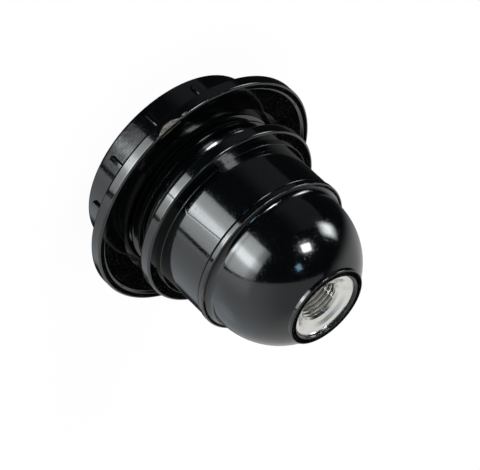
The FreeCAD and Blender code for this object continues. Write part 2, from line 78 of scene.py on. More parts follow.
def length(name, millimetres, description):
    return FloatProperty(name=name, description=description, default=millimetres * MM, unit="LENGTH",
                         precision=5, min=0.0)


def colour(name, rgb, description):
    return FloatVectorProperty(name=name, description=description, default=rgb, size=3, subtype="COLOR",
                               min=0.0, max=1.0)


class SkirtSizes(bpy.types.PropertyGroup):
    crest_radius: length("Barrel crest", 19.75, "Radius over the crests of the barrel's thread")
    thread_depth: length("Thread depth", 1.1, "Depth of the barrel's thread")
    pitch: length("Thread pitch", 2.5, "Pitch of every moulded thread")
    crest_width: length("Crest width", 0.55, "Flat width of the barrel thread's crest")
    flank_width: length("Flank width", 0.513, "Width of one flank of the barrel's thread")
    plain_end: length("Plain end", 0.9, "Plain length at each end of the barrel")
    thread_turn: FloatProperty(name="Thread turn", description="Turn of the barrel's thread about the axis",
                               default=-0.0153, unit="NONE")
    barrel_length: length("Barrel length", 18.6, "From the mouth to the collar's underside")
    shoulder_radius: length("Shoulder radius", 19.8, "Low shoulder below the collar")
    shoulder_height: length("Shoulder height", 0.3, "Height of the low shoulder below the collar")
    bore_radius: length("Barrel bore", 16.05, "Inner radius of the barrel")
    mouth_chamfer: length("Mouth chamfer", 0.9, "Chamfer inside the open mouth")
    collar_radius: length("Collar radius", 22.75, "Radius of the collar that the shade rests against")
    collar_edge: length("Collar edge", 0.55, "Rounding of the collar's edges")
    collar_drop: length("Collar depth", 12.4, "From the skirt's top down to the collar's upper face")
    step_radius: length("Step radius", 20.1, "Radius of the step above the collar")
    step_height: length("Step height", 0.9, "Height of the step above the collar")
    body_radius: length("Body radius", 19.15, "Radius of the smooth body")
    chamber_radius: length("Chamber radius", 17.3, "Radius of the chamber that the cap screws into")
    ledge_radius: length("Ledge radius", 14.7, "Inner radius of the ledge below the contact base")
    ledge_thickness: length("Ledge thickness", 2.0, "Thickness of the ledge")
    ledge_drop: length("Ledge depth", 7.9, "From the skirt's top down to the ledge")
    groove_depth: length("Groove depth", 0.75, "Depth of the chamber's threaded groove")
    parting_angle: FloatProperty(name="Parting angle", description="Where the mould's seam runs up the skirt",
                                 default=math.radians(-76.1), subtype="ANGLE")


class CapSizes(bpy.types.PropertyGroup):
    band_radius: length("Band radius", 19.4, "Radius of the band round the dome's foot")
    band_bottom: length("Band bottom", 34.05, "Height of the band's lower edge")
    band_top: length("Band top", 35.5, "Height of the band's upper edge")
    band_edge: length("Band edge", 0.35, "Rounding of the band's upper edge")
    cove_depth: length("Cove depth", 1.7, "How far the dome stands back from the band")
    cove_lip: length("Cove lip", 0.07, "Rise of the band's top to the cove")
    dome_radius: length("Dome radius", 17.7, "Radius of the half-round dome")
    dome_base: length("Dome base", 37.45, "Height of the dome's centre")
    rim_radius: length("Rim radius", 9.85, "Radius of the rim round the metal entry")
    rim_rise: length("Rim rise", 0.9, "Height of the rim above the dome")
    rim_edge: length("Rim edge", 0.35, "Rounding of the rim's edges")
    wall: length("Nose wall", 1.9, "Wall of the threaded nose and the dome")
    nose_radius: length("Nose radius", 17.22, "Radius over the nose's thread")
    nose_bottom: length("Nose bottom", 28.46, "Height of the nose's lower end")
    groove_depth: length("Groove depth", 0.7, "Depth of the nose's thread")
    notch_width: length("Notch width", 4.5, "Width of the notches that hold the contact base")
    notch_top: length("Notch top", 29.93, "Height of the notches' upper end")
    boss_wall: length("Boss wall", 2.2, "Wall round the metal entry inside the dome")


class EntrySizes(bpy.types.PropertyGroup):
    bore_radius: length("Entry bore", 4.459, "Minor radius of the entry's M10 thread")
    root_radius: length("Thread root", 5.02, "Major radius of the entry's thread")
    pitch: length("Thread pitch", 1.0, "Pitch of the entry's thread")
    lip_radius: length("Lip radius", 8.1, "Outer radius of the metal lip")
    lip_width: length("Lip width", 0.3, "Width of the lip's flat top")
    lip_drop: length("Lip drop", 0.7, "From the rim's top down to the lip")
    lip_depth: length("Lip depth", 1.15, "Height of the lip's cylinder")
    cone_depth: length("Cone depth", 1.5, "Height of the cone below the lip")
    body_radius: length("Body radius", 6.6, "Radius of the body inside the dome's boss")
    block_radius: length("Block radius", 7.5, "Radius of the block at the lower end")
    block_height: length("Block height", 3.3, "Height of the block")
    knee_radius: length("Dish knee", 6.8, "Radius at which the dish turns down")
    knee_depth: length("Knee depth", 0.40, "Depth of the dish at the knee")
    knee_edge: length("Knee rounding", 0.30, "Rounding of the dish's knee")
    dish_depth: length("Dish depth", 1.35, "Depth of the dish at the bore")
    chamfer: length("Entry chamfer", 0.5, "Chamfer where the thread starts")
    bottom: length("Bottom", 40.25, "Height of the lower end")
    lock_hole_radius: length("Lock hole", 1.55, "Radius of the lock screw's hole")


class RingSizes(bpy.types.PropertyGroup):
    bore_radius: length("Ring bore", 19.83, "Radius inside the thread's crests")
    groove_depth: length("Groove depth", 0.95, "Depth of the ring's inner thread")
    bottom: length("Bottom", 0.4, "Height of the hub's lower end")
    hub_radius: length("Hub radius", 22.85, "Hub radius at the lower end")
    hub_top_radius: length("Hub top radius", 23.1, "Hub radius below the flange")
    flange_bottom: length("Flange bottom", 9.7, "Height of the flange's lower face")
    flange_radius: length("Flange radius", 29.05, "Radius of the flange")
    top: length("Top", 12.6, "Height of the flange's lip")
    lip_width: length("Lip width", 1.5, "Width of the flange's raised lip")
    lip_depth: length("Lip depth", 0.5, "Rise of the lip above the flange's face")
    lip_slope: length("Lip slope", 0.4, "Width of the slope inside the lip")
    bevel_width: length("Bevel width", 2.0, "Width of the bevel at the bore")
    bevel_depth: length("Bevel depth", 0.9, "Depth of the bevel at the bore")
    rim_edge: length("Rim edge", 0.5, "Rounding of the flange's rim")
    mouth_chamfer: length("Mouth chamfer", 0.6, "Chamfer at the lower end of the bore")
    rib_count: IntProperty(name="Ribs", description="Number of grip ribs on the hub", default=12, min=1)
    rib_width: length("Rib width", 1.3, "Width of a grip rib")
    rib_proud: length("Rib height", 0.45, "How far a rib stands proud of the hub")
    rib_setback: length("Rib setback", 2.1, "From the hub's lower end up to a rib")
    rib_phase: FloatProperty(name="Rib phase", description="Turn of the first rib",
                             default=math.radians(21.4), subtype="ANGLE")
    gate_angle: FloatProperty(name="Gate angle", description="Where the moulding's gate was broken off",
                              default=math.radians(-99.0), subtype="ANGLE")
    gate_chord: length("Gate chord", 7.0, "Length of the gate's scar along the rim")
    gate_depth: length("Gate depth", 1.65, "Height of the gate's scar on the rim")


class SleeveSizes(bpy.types.PropertyGroup):
    crest_radius: length("Crest radius", 12.2, "Inner radius over the rolled thread's crests")
    thread_depth: length("Thread depth", 1.1, "Depth of the rolled thread")
    pitch: length("Thread pitch", 3.629, "Pitch of the rolled thread")
    sheet: length("Sheet", 0.4, "Thickness of the sheet")
    flare: length("Flare", 0.5, "Width of the flare at the lower edge")
    crown_hole: length("Crown hole", 8.0, "Radius of the hole in the crown")
    rivet_circle: length("Rivet circle", 10.3, "Radius of the circle that the rivets stand on")
    rivet_hole: length("Rivet hole", 1.23, "Radius of a rivet's hole")


class Finishes(bpy.types.PropertyGroup):
    resin: colour("Resin", (0.0009, 0.0012, 0.0016), "Black thermoset resin")
    resin_filler: colour("Resin filler", (0.0060, 0.0056, 0.0052), "Filler that shows as fine specks")
    dust: colour("Dust", (0.12, 0.115, 0.105), "Dust on the resin")
    # Pale scuffed resin, which also serves as a painted highlight along rounded edges.
    scuff_and_highlight: colour("Scuff", (0.21, 0.19, 0.16), "Resin scuffed pale along an edge")
    scar: colour("Gate scar", (0.15, 0.13, 0.105), "Broken resin where the gate was")
    scar_shadow: colour("Scar shadow", (0.010, 0.009, 0.008), "Dark grains of the broken resin")
    nickel: colour("Nickel", (0.82, 0.81, 0.785), "Satin nickel plate")
    nickel_tarnish: colour("Nickel tarnish", (0.60, 0.57, 0.53), "Duller plate in the recesses")
    steel: colour("Steel", (0.62, 0.62, 0.61), "Zinc plated steel")
    steel_tint: colour("Steel tint", (0.50, 0.47, 0.44), "Yellowish cast of the plating")
    brass: colour("Brass", (0.80, 0.60, 0.30), "Bright brass sheet")
    brass_tarnish: colour("Brass tarnish", (0.50, 0.34, 0.16), "Darker brass")
    porcelain: colour("Porcelain", (0.84, 0.82, 0.77), "Glazed porcelain")
    porcelain_bare: colour("Bare porcelain", (0.74, 0.70, 0.63), "Thin spots in the glaze")
    kiln_speck: colour("Kiln speck", (0.22, 0.16, 0.10), "Brown specks in the glaze")


# ---------------------------------------------------------------- node wiring


class Wire:
    """One output of a node tree. Arithmetic on wires adds the tree's Math nodes."""

    def __init__(self, tree, socket=None):
        self.tree = tree
        self.socket = socket

    def node(self, kind, settings=None, inputs=None, output=0):
        """Adds a node of the given type with its settings, then its sockets' values or links."""
        node = self.tree.nodes.new(kind)
        for name, value in (settings or {}).items():
            if name == "stops":
                ramp = node.color_ramp
                while len(ramp.elements) < len(value):
                    ramp.elements.new(1.0)
                for element, (place, shade) in zip(ramp.elements, value):
                    element.position = place
                    element.color = (shade, shade, shade, 1.0)
            else:
                setattr(node, name, value)
        for name, value in (inputs or {}).items():
            if isinstance(value, Wire):
                self.tree.links.new(value.socket, node.inputs[name])
            else:
                node.inputs[name].default_value = value
        return Wire(self.tree, node.outputs[output]) if node.outputs else None

    def part(self, name):
        """Another output of the same node."""
        return Wire(self.tree, self.socket.node.outputs[name])

    def math(self, operation, *others):
        """A Math node on this wire and the others."""
        return self.node("ShaderNodeMath", {"operation": operation}, dict(enumerate((self, *others))))

    def math_second(self, operation, first):
        """A Math node with this wire as its second value."""
        return self.node("ShaderNodeMath", {"operation": operation}, {0: first, 1: self})

    def __add__(self, other):
        return self.math("ADD", other)

    def __radd__(self, other):
        return self.math_second("ADD", other)

    def __sub__(self, other):
        return self.math("SUBTRACT", other)

    def __rsub__(self, other):
        return self.math_second("SUBTRACT", other)

    def __mul__(self, other):
        return self.math("MULTIPLY", other)

    def __rmul__(self, other):
        return self.math_second("MULTIPLY", other)

    def __truediv__(self, other):
        return self.math("DIVIDE", other)

    def __rtruediv__(self, other):
        return self.math_second("DIVIDE", other)

    def __abs__(self):
        return self.math("ABSOLUTE")

    def at_least(self, other):
        return self.math("MAXIMUM", other)

    def at_most(self, other):
        return self.math("MINIMUM", other)

    def rise(self, start, end):
        """0 before start, 1 after end, and smooth between them."""
        return self.node("ShaderNodeMapRange", {"interpolation_type": "SMOOTHSTEP"},
                         {0: self, 1: start, 2: end, 3: 0.0, 4: 1.0})

    def fall(self, start, end):
        """1 before start, 0 after end, and smooth between them."""
        return 1.0 - self.rise(start, end)

    def band(self, start, full, fade, end):
        """0 outside start and end, and 1 between full and fade."""
        return self.rise(start, full) * self.fall(fade, end)

    def blend(self, low, high):
        """A colour from low to high, as this wire goes from 0 to 1."""
        low = low if isinstance(low, Wire) else (*low, 1.0)
        high = high if isinstance(high, Wire) else (*high, 1.0)
        return self.node("ShaderNodeMix", {"data_type": "RGBA"}, {0: self, 6: low, 7: high}, output=2)


def emptied(owner):
    """The wiring of a new world or material, with no nodes in it."""
    owner.use_nodes = True
    owner.node_tree.nodes.clear()
    return Wire(owner.node_tree)


def object_place(graph):
    """The Object coordinates, in metres."""
    return graph.node("ShaderNodeTexCoord", output="Object")


def parts_of(graph, vector):
    """The three parts of a vector."""
    x = graph.node("ShaderNodeSeparateXYZ", inputs={0: vector})
    return x, x.part("Y"), x.part("Z")


def distance(x, y):
    """Distance from the origin in the plane of x and y."""
    return (x * x + y * y).math("SQRT")


def seen_from(x, y, turn):
    """How far ahead a place lies in the direction of turn, and how far across that direction."""
    return x * math.cos(turn) + y * math.sin(turn), y * math.cos(turn) - x * math.sin(turn)


def noise(graph, place, size, detail=2.0, roughness=0.5):
    """Noise whose grains are about the given size in metres, from 0 to 1."""
    return graph.node("ShaderNodeTexNoise", None,
                      {"Vector": place, "Scale": 1.0 / size, "Detail": detail, "Roughness": roughness})


def finish(name, paint, **constants):
    """A material. paint(graph) gives what varies over the surface: the shader's inputs by name, and height, a
    relief in metres. constants set the shader's other inputs."""
    material = bpy.data.materials.new(name)
    graph = emptied(material)
    varying = paint(graph)
    relief = {"Strength": 1.0, "Distance": 1.0, "Height": varying.pop("height")}
    varying["Normal"] = graph.node("ShaderNodeBump", None, relief)
    shader = graph.node("ShaderNodeBsdfPrincipled", None, {**constants, **varying})
    graph.node("ShaderNodeOutputMaterial", None, {"Surface": shader})
    return material


# ---------------------------------------------------------------- finishes


def resin_finish(name, add_marks):
    """Glossy moulded resin: fine filler specks, orange peel, pits, dull smears and a little dust. add_marks
    puts on what only this moulding has."""

    def paint(graph):
        colours = bpy.context.scene.holder_finishes
        place = object_place(graph)
        fine = noise(graph, place, 0.28 * MM, 3.0, 0.6)
        peel = noise(graph, place, 1.1 * MM)
        flow = noise(graph, place, 9.0 * MM, 3.0, 0.55)
        dust = noise(graph, place, 0.16 * MM, 1.0).rise(0.735, 0.80)
        pits = noise(graph, place, 0.30 * MM, 1.0).rise(0.62, 0.76)
        specks = fine.rise(0.54, 0.74)
        shade = specks.blend(colours.resin, colours.resin_filler)
        result = {
            "Base Color": (dust * 0.25).blend(shade, colours.dust),
            "Roughness": 0.075 + 0.035 * flow.rise(0.35, 0.7) + 0.05 * specks + 0.25 * dust,
            "height": (fine * 1.6 + peel * 4.0 + flow * 12.0 - pits * 5.5) * MICRON,
        }
        add_marks(graph, place, result)
        return result

    return finish(name, paint, IOR=1.66)


def worn_edge_and_highlight(graph, place, result, radius, height, amount):
    """A rounded outer edge at this radius and height, scuffed to a paler tone here and there. The pale tone
    is also a painted highlight along the edge.
    """
    x, y, z = parts_of(graph, place)
    mask = noise(graph, place, 3.5 * MM, 3.0, 0.65).rise(0.40, 0.56) * amount
    for past in (distance(x, y) - radius, z - height):
        mask = mask * past.band(-0.20 * MM, -0.12 * MM, 0.03 * MM, 0.06 * MM)
    # Paints the pale edge line: partly scuffed resin, partly a painted edge highlight.
    result["Base Color"] = mask.blend(result["Base Color"], bpy.context.scene.holder_finishes.scuff_and_highlight)
    result["Roughness"] = result["Roughness"] + mask * 0.4


def collar_height():
    """Height of the collar's upper face."""
    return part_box("skirt")[1].z - bpy.context.scene.holder_skirt.collar_drop


def skirt_marks(graph, place, result):
    """The collar's scuffed edge, which is also a painted edge highlight, and the seam of the two mould
    halves, which leans on the body.
    """
    skirt = bpy.context.scene.holder_skirt
    # Pale collar edge: scuffed resin and a painted edge highlight.
    worn_edge_and_highlight(graph, place, result, skirt.collar_radius, collar_height(), 0.5)
    x, y, z = parts_of(graph, place)
    wander = (noise(graph, place, 2.2 * MM, 1.0) - 0.5) * (0.06 * MM)
    body_foot, lean_at_foot, slant = 22.4 * MM, 1.3 * MM, 0.085
    lean = (lean_at_foot - (z - body_foot) * slant) * z.rise(body_foot - 0.8 * MM, body_foot + 1.2 * MM)
    ahead, across = seen_from(x, y, skirt.parting_angle)
    across = across + wander - lean
    outside = ahead.rise(17.8 * MM, 18.1 * MM)
    line = abs(across).fall(0.03 * MM, 0.16 * MM) * outside
    step = across.rise(-0.02 * MM, 0.30 * MM) * outside
    result["height"] = result["height"] - line * (30 * MICRON) + step * (25 * MICRON)
    result["Roughness"] = result["Roughness"] + line * 0.10


def cap_marks(graph, place, result):
    """The scuffed upper edge of the cap's band, which is also a painted edge highlight."""
    cap = bpy.context.scene.holder_cap
    # Pale band edge: scuffed resin and a painted edge highlight.
    worn_edge_and_highlight(graph, place, result, cap.band_radius, cap.band_top, 0.3)


def gate_breaks(ring):
    """Angle, chord and depth of each broken place at the gate: the gate itself and a chip beside it."""
    chip_angle = ring.gate_angle - ring.gate_chord * 0.62 / ring.flange_radius
    return [(ring.gate_angle, ring.gate_chord, ring.gate_depth),
            (chip_angle, ring.gate_chord * 0.2, ring.gate_depth * 0.55)]


def ring_marks(graph, place, result):
    """The rim's scuffed edge, which is also a painted edge highlight, rough broken resin where the flange's
    gate was, and a pale line along the ledge above it that is broken resin and a painted highlight.
    """
    colours = bpy.context.scene.holder_finishes
    ring = bpy.context.scene.holder_ring
    # Pale rim edge: scuffed resin and a painted edge highlight.
    worn_edge_and_highlight(graph, place, result, ring.flange_radius, ring.top, 0.75)
    x, y, z = parts_of(graph, place)
    crumbs = noise(graph, place, 0.45 * MM, 4.0, 0.75)
    ragged = (noise(graph, place, 0.9 * MM, 3.0, 0.6) - 0.5) * (0.9 * MM)
    inward = ring.flange_radius - distance(x, y)
    cut_face = inward.band(0.015 * MM, 0.05 * MM, 0.35 * MM, 0.45 * MM)
    cut_face = cut_face * z.fall(ring.top - 0.20 * MM, ring.top - 0.15 * MM)
    scar = 0.0
    for turn, chord, depth in gate_breaks(ring):
        ahead, across = seen_from(x, y, turn)
        sides = (abs(across) + ragged * 0.4).fall(chord * 0.47, chord * 0.51)
        tall = (z + ragged * 0.5).rise(ring.top - depth * 1.08, ring.top - depth * 0.95)
        scar = sides * ahead.rise(0.0, 1 * MM) * tall + scar
    # A pale line along the inner edge of the ledge above the gate, in the broken resin's colours: broken
    # resin and a painted highlight.
    ahead, across = seen_from(x, y, ring.gate_angle)
    ledge = abs(ahead - (ring.flange_radius - 1 * MM)).fall(0.05 * MM, 0.12 * MM)
    ledge = ledge * z.rise(ring.top - 0.3 * MM, ring.top)
    ledge = ledge * abs(across).fall(ring.gate_chord * 0.38, ring.gate_chord * 0.42)
    scar = (scar.at_most(1.0) * cut_face).at_least(ledge * 0.7)
    broken = crumbs.rise(0.40, 0.60).blend(colours.scar_shadow, colours.scar)
    result["Base Color"] = scar.blend(result["Base Color"], broken)
    result["Roughness"] = result["Roughness"] + scar * 0.55
    result["height"] = result["height"] + scar * crumbs * (160 * MICRON)


def turned_metal(name, bright, dull, ring_size, roughness, centre=(0.0, 0.0)):
    """Metal turned about an upright axis at centre: fine tool rings, faint stains."""

    def paint(graph):
        place = object_place(graph)
        x, y, z = parts_of(graph, place)
        stain = 0.35 * noise(graph, place, 4.0 * MM, 4.0, 0.6).rise(0.42, 0.78)
        grain = noise(graph, place, 0.12 * MM, 2.0, 0.6)
        travel = (distance(x - centre[0], y - centre[1]) + z) * (1.0 / ring_size)
        flutter = noise(graph, graph.node("ShaderNodeCombineXYZ", None, {0: travel * 0.37}), 1.0)
        rings = (travel * FULL_TURN + flutter * 5.0).math("SINE")
        return {
            "Base Color": stain.blend(bright, dull),
            "Roughness": roughness + 0.10 * stain + 0.06 * grain,
            "height": rings * (ring_size * 0.0055) + grain * (0.9 * MICRON),
        }

    return finish(name, paint, Metallic=1.0)


def drawn_metal(name, bright, dull, roughness):
    """Pressed or drawn metal with faint stains and fine lengthwise scratches."""

    def paint(graph):
        place = object_place(graph)
        stain = noise(graph, place, 3.2 * MM, 4.0, 0.62).rise(0.40, 0.75)
        stretched = graph.node("ShaderNodeMapping", None, {"Vector": place, "Scale": (6.0, 6.0, 0.5)})
        scratch = noise(graph, stretched, 0.7 * MM, 3.0, 0.6)
        return {
            "Base Color": stain.blend(bright, dull),
            "Roughness": roughness + 0.12 * stain + 0.05 * scratch,
            "height": scratch * (1.5 * MICRON),
        }

    return finish(name, paint, Metallic=1.0)


def glazed_porcelain(name):
    """Porcelain under glaze: slow waves, thin spots and a few kiln specks."""

    def paint(graph):
        colours = bpy.context.scene.holder_finishes
        place = object_place(graph)
        wave = noise(graph, place, 3.0 * MM)
        thin = noise(graph, place, 1.6 * MM, 4.0, 0.65).rise(0.56, 0.74)
        kiln = noise(graph, place, 0.35 * MM, 1.0, 0.4).rise(0.77, 0.80)
        shade = thin.blend(colours.porcelain, colours.porcelain_bare)
        return {
            "Base Color": (kiln * 0.7).blend(shade, colours.kiln_speck),
            "Roughness": 0.14 + 0.30 * thin + 0.05 * wave,
            "height": wave * (14 * MICRON) + thin * (2 * MICRON),
        }

    return finish(name, paint, IOR=1.5)


# ---------------------------------------------------------------- mesh tools


def rounded_outline(corners):
    """Points (radius, height) along a closed outline. A corner is (radius, height), with a rounding as its
    third value where it has one, or "via" for an arc through it. None between two corners leaves that side
    open. Returns the points and the indices of the points after which the side is open."""
    plain = [corner for corner in corners if corner is not None]
    opened = set()
    seen = 0
    for corner in corners:
        if corner is None:
            opened.add(seen - 1)
        else:
            seen += 1
    spots = [Vector((corner[0], corner[1])) for corner in plain]
    extras = [corner[2] if len(corner) > 2 else 0.0 for corner in plain]
    points = []
    gaps = set()
    for i, here in enumerate(spots):
        before, after = spots[i - 1], spots[(i + 1) % len(spots)]
        if extras[i] == "via":
            points.extend(arc_through(before, here, after))
        elif extras[i] > 0:
            points.extend(rounded_corner(here, before - here, after - here, extras[i]))
        else:
            points.append(here)
        if i in opened:
            gaps.add(len(points) - 1)
    return points, gaps


def rounded_corner(corner, back, ahead, radius):
    """A rounding, with one more point just before and after it where there is room."""
    back_way, ahead_way = back.normalized(), ahead.normalized()
    half = back_way.angle(ahead_way) / 2
    reach = radius / math.tan(half)
    start, end = corner + back_way * reach, corner + ahead_way * reach
    centre = corner + (back_way + ahead_way).normalized() * (radius / math.sin(half))
    points = []
    support = 0.3 * radius
    roomy = min(back.length, ahead.length) > reach + 2.5 * support
    if roomy:
        points.append(corner + back_way * (reach + support))
    first, last = start - centre, end - centre
    sweep = first.angle(last)
    for step in range(ROUNDING_STEPS + 1):
        share = step / ROUNDING_STEPS
        way = (first * math.sin((1 - share) * sweep) + last * math.sin(share * sweep)) / math.sin(sweep)
        points.append(centre + way)
    if roomy:
        points.append(corner + ahead_way * (reach + support))
    return points


def arc_through(first, middle, last):
    """Points inside the arc from first through middle to last, about 2.5 degrees apart."""
    (ax, ay), (bx, by), (cx, cy) = first, middle, last
    a, b, c = ax * ax + ay * ay, bx * bx + by * by, cx * cx + cy * cy
    area = 2 * (ax * (by - cy) + bx * (cy - ay) + cx * (ay - by))
    ux = (a * (by - cy) + b * (cy - ay) + c * (ay - by)) / area
    uy = (a * (cx - bx) + b * (ax - cx) + c * (bx - ax)) / area
    centre = Vector((ux, uy))
    start = math.atan2(ay - uy, ax - ux)
    sweep = math.remainder(math.atan2(cy - uy, cx - ux) - start, FULL_TURN)
    via = math.remainder(math.atan2(by - uy, bx - ux) - start, FULL_TURN)
    if via * sweep < 0:
        sweep -= math.copysign(FULL_TURN, sweep)
    radius = (first - centre).length
    steps = max(4, round(abs(math.degrees(sweep)) / 2.5))
    angles = [start + sweep * step / steps for step in range(1, steps)]
    return [centre + radius * Vector((math.cos(angle), math.sin(angle))) for angle in angles]


def turned(name, corners):
    """A mesh turned about the Z axis from a closed outline, open where the outline is."""
    points, gaps = rounded_outline(corners)
    count = len(points)
    vertices = []
    for step in range(SEGMENTS):
        angle = FULL_TURN * step / SEGMENTS
        vertices.extend((p.x * math.cos(angle), p.x * math.sin(angle), p.y) for p in points)
    faces = []
    for step in range(SEGMENTS):
        here, there = step * count, (step + 1) % SEGMENTS * count
        for i in range(count):
            if i not in gaps:
                j = (i + 1) % count
                faces.append((here + i, there + i, there + j, here + j))
    mesh = bpy.data.meshes.new(name)
    mesh.from_pydata(vertices, [], faces)
    return mesh


def upright_cylinder(name, radius, bottom, top, centre=(0.0, 0.0)):
    """A closed upright cylinder from bottom to top."""
    mesh = bpy.data.meshes.new(name)
    shape = bmesh.new()
    bmesh.ops.create_cone(shape, cap_ends=True, segments=HOLE_SEGMENTS, radius1=radius, radius2=radius,
                          depth=top - bottom, matrix=Matrix.Translation((*centre, (bottom + top) / 2)))
    shape.to_mesh(mesh)
    shape.free()
    return mesh


def box_mesh(name, low, high, turn=Matrix.Identity(4)):
    """A box between two corners, moved by a matrix."""
    mesh = bpy.data.meshes.new(name)
    shape = bmesh.new()
    bmesh.ops.create_cube(shape, size=1.0)
    for vertex in shape.verts:
        spot = Vector([low[i] + (vertex.co[i] + 0.5) * (high[i] - low[i]) for i in range(3)])
        vertex.co = turn @ spot
    shape.to_mesh(mesh)
    shape.free()
    return mesh


def joined(name, meshes):
    """One closed mesh from several, with shared edges merged and faces turned outwards."""
    shape = bmesh.new()
    for mesh in meshes:
        shape.from_mesh(mesh)
    bmesh.ops.remove_doubles(shape, verts=shape.verts, dist=MERGE_DISTANCE)
    bmesh.ops.dissolve_degenerate(shape, edges=shape.edges, dist=0.1 * MICRON)
    bmesh.ops.recalc_face_normals(shape, faces=shape.faces)
    result = bpy.data.meshes.new(name)
    shape.to_mesh(result)
    shape.free()
    return result


def new_object(name, data):
    thing = bpy.data.objects.new(name, data)
    bpy.context.scene.collection.objects.link(thing)
    return thing


def settled(thing):
    """Turns an object's modifiers into a plain mesh and removes them."""
    bpy.context.view_layer.update()
    depsgraph = bpy.context.evaluated_depsgraph_get()
    mesh = bpy.data.meshes.new_from_object(thing.evaluated_get(depsgraph))
    thing.modifiers.clear()
    thing.data = mesh


def cut(thing, cutters):
    """Takes the cutters' meshes out of an object."""
    tools = [new_object("cutter", mesh) for mesh in cutters]
    for tool in tools:
        modifier = thing.modifiers.new("cut", "BOOLEAN")
        modifier.object = tool
        modifier.operation = "DIFFERENCE"
        modifier.solver = "EXACT"
    settled(thing)
    for tool in tools:
        bpy.data.objects.remove(tool)


def piece(thing, material, body, slot, *nodes):
    """Finishes a piece: its material, its shading, its body, and the nodes that it stands for, which it
    hides. The slot is not used.
    """
    mesh = thing.data
    mesh.materials.clear()
    mesh.materials.append(material)
    mesh.shade_smooth()
    mesh.set_sharp_from_angle(angle=SHARP_ANGLE)
    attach(thing, body)
    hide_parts(*nodes)


# ---------------------------------------------------------------- geometry node trees


def tree_with(name, sockets):
    """An empty geometry node tree with a mesh in and out, and the named inputs (type, name, default)."""
    tree = bpy.data.node_groups.new(name, "GeometryNodeTree")
    tree.interface.new_socket("Geometry", in_out="INPUT", socket_type="NodeSocketGeometry")
    for kind, label, default in sockets:
        socket = tree.interface.new_socket(label, in_out="INPUT", socket_type="NodeSocket" + kind)
        if default is not None:
            socket.default_value = default
    tree.interface.new_socket("Geometry", in_out="OUTPUT", socket_type="NodeSocketGeometry")
    return tree


def close_tree(graph, geometry, material):
    """Ends a tree: its instances made real, and its material set."""
    real = graph.node("GeometryNodeRealizeInstances", None, {"Geometry": geometry})
    dressed = graph.node("GeometryNodeSetMaterial", None, {"Geometry": real, "Material": material})
    graph.node("NodeGroupOutput", None, {0: dressed})


def run_tree(name, tree, mesh, **values):
    """Runs a tree on a mesh and gives the result as a plain mesh. A value's key is its input's name."""
    thing = new_object(name, mesh)
    modifier = thing.modifiers.new(name, "NODES")
    modifier.node_group = tree
    inputs = [item for item in tree.interface.items_tree if item.in_out == "INPUT"]
    sockets = {item.name.lower().replace(" ", "_"): item.identifier for item in inputs}
    for key, value in values.items():
        modifier[sockets[key]] = value
    settled(thing)
    result = thing.data
    bpy.data.objects.remove(thing)
    return result


def thread_tree():
    """A wall with a helical thread on it. Its rows follow the helix, so crest and flanks stay clean lines,
    and the thread fades out at both ends. The rows start two turns below the bottom, so that the wall is
    closed there. A crest radius below the base radius makes a thread cut inwards."""
    tree = tree_with("helical thread", [
        ("Float", "Base Radius", 0.018), ("Float", "Crest Radius", 0.019), ("Float", "Pitch", 0.0025),
        ("Float", "Bottom", 0.0), ("Float", "Top", 0.01), ("Float", "Crest Share", 0.22),
        ("Float", "Flank Share", 0.2), ("Float", "Softness", 0.15), ("Float", "Fade", 0.0015),
        ("Float", "Turn", 0.0), ("Int", "Segments", SEGMENTS), ("Int", "Steps", 16),
        ("Material", "Material", None),
    ])
    graph = Wire(tree)
    given = graph.node("NodeGroupInput")
    segments, steps, softness = given.part("Segments"), given.part("Steps"), given.part("Softness")
    bottom, top, pitch = given.part("Bottom"), given.part("Top"), given.part("Pitch")
    turns_below = 2.0
    rows = (((top - bottom) / pitch).math("CEIL") + turns_below) * steps + 1.0
    sheet = graph.node("GeometryNodeMeshGrid", None,
                       {"Vertices X": segments + 1.0, "Vertices Y": rows, "Size X": 1.0, "Size Y": 1.0})
    index = graph.node("GeometryNodeInputIndex")
    column = ((index + 0.5) / rows).math("FLOOR")
    along = (index - column * rows) / steps
    slack = 0.0005
    share = (along + slack).math("FRACT") - slack
    level = bottom + pitch * (along - turns_below + column / segments + given.part("Turn"))
    height = level.at_least(bottom).at_most(top)
    flank = 1.0 - (abs(share - 0.5) - given.part("Crest Share") * 0.5) / given.part("Flank Share")
    rise = flank.math("SMOOTH_MIN", 1.0, softness).math("SMOOTH_MAX", 0.0, softness)
    ends = ((height - bottom).at_most(top - height) / given.part("Fade")).at_least(0.0).at_most(1.0)
    base = given.part("Base Radius")
    radius = base + (given.part("Crest Radius") - base) * rise.at_most(ends)
    angle = column / segments * FULL_TURN
    spot = graph.node("ShaderNodeCombineXYZ", None,
                      {0: radius * angle.math("COSINE"), 1: radius * angle.math("SINE"), 2: height})
    moved = graph.node("GeometryNodeSetPosition", None, {"Geometry": sheet, "Position": spot})
    merged = graph.node("GeometryNodeMergeByDistance", None, {"Geometry": moved, "Distance": MERGE_DISTANCE})
    close_tree(graph, merged, given.part("Material"))
    return tree


def repeat_tree():
    """Copies of a mesh, spaced evenly round the Z axis."""
    tree = tree_with("copies round the axis", [
        ("Int", "Count", 12), ("Float", "Phase", 0.0), ("Material", "Material", None),
    ])
    graph = Wire(tree)
    given = graph.node("NodeGroupInput")
    count = given.part("Count")
    points = graph.node("GeometryNodePoints", None, {"Count": count})
    angle = graph.node("GeometryNodeInputIndex") / count * FULL_TURN + given.part("Phase")
    turn = graph.node("ShaderNodeCombineXYZ", None, {2: angle})
    copies = graph.node("GeometryNodeInstanceOnPoints", None,
                        {"Points": points, "Instance": given.part("Geometry"), "Rotation": turn})
    close_tree(graph, copies, given.part("Material"))
    return tree


def thread(name, **values):
    """The wall of a thread, ready to be joined to a turned mesh."""
    tree = bpy.data.node_groups.get("helical thread") or thread_tree()
    return run_tree(name, tree, bpy.data.meshes.new(name), segments=SEGMENTS, **values)


# ---------------------------------------------------------------- pieces


